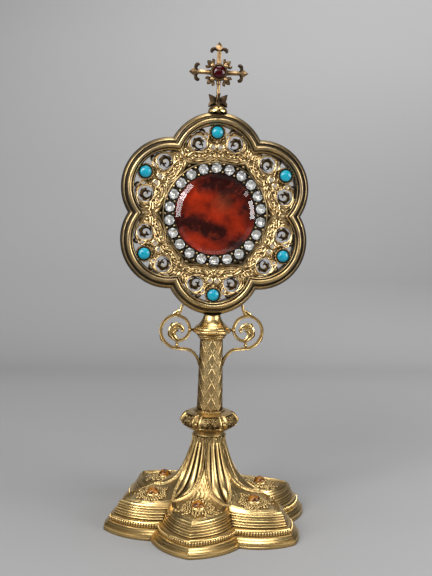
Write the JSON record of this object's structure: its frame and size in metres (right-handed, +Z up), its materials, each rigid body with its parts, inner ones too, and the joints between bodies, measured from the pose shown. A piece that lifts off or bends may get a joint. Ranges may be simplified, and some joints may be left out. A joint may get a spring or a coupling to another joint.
{
  "type": "reliquary monstrance",
  "caption": "Standing gilt reliquary monstrance: lobed head with a domed crystal ringed with set stones, cross on top, scroll brackets, stem, knot and lobed foot.",
  "frame": {"origin": "centre of the foot's underside, on the surface that the object stands on", "axes": "+Z up; the head faces -Y; +X to the viewer's right"},
  "size_m": [0.1404, 0.1408, 0.32],
  "materials": {
    "gilt": "worn warm gilding on brass",
    "dark_gilt": "tarnished gilding, dark brown in the hollows",
    "turquoise": "smooth turquoise cabochon",
    "paste": "clear cut paste stone",
    "citrine": "amber-coloured cabochon",
    "garnet": "dark red cabochon",
    "crystal": "clear domed crystal",
    "silk": "aged deep red silk"
  },
  "bodies": {
    "root": {"foot": "gilt", "knot": "gilt", "stem": "gilt", "collar": "gilt", "scroll_left": "gilt", "scroll_right": "gilt", "cross_socket": "gilt", "cross": "dark_gilt", "frame": "dark_gilt", "openwork": "gilt", "lunette": "dark_gilt", "glass": "crystal", "silk": "silk", "back_cover": "gilt", "garnet": "garnet", "turquoise_1": "turquoise", "turquoise_2": "turquoise", "turquoise_3": "turquoise", "turquoise_4": "turquoise", "turquoise_5": "turquoise", "turquoise_6": "turquoise", "citrine_1": "citrine", "citrine_2": "citrine", "citrine_3": "citrine", "citrine_4": "citrine", "citrine_5": "citrine", "citrine_6": "citrine", "paste_01": "paste", "paste_02": "paste", "paste_03": "paste", "paste_04": "paste", "paste_05": "paste", "paste_06": "paste", "paste_07": "paste", "paste_08": "paste", "paste_09": "paste", "paste_10": "paste", "paste_11": "paste", "paste_12": "paste", "paste_13": "paste", "paste_14": "paste", "paste_15": "paste", "paste_16": "paste", "paste_17": "paste", "paste_18": "paste", "paste_19": "paste", "paste_20": "paste", "paste_21": "paste", "paste_22": "paste"}
  },
  "joints": []
}
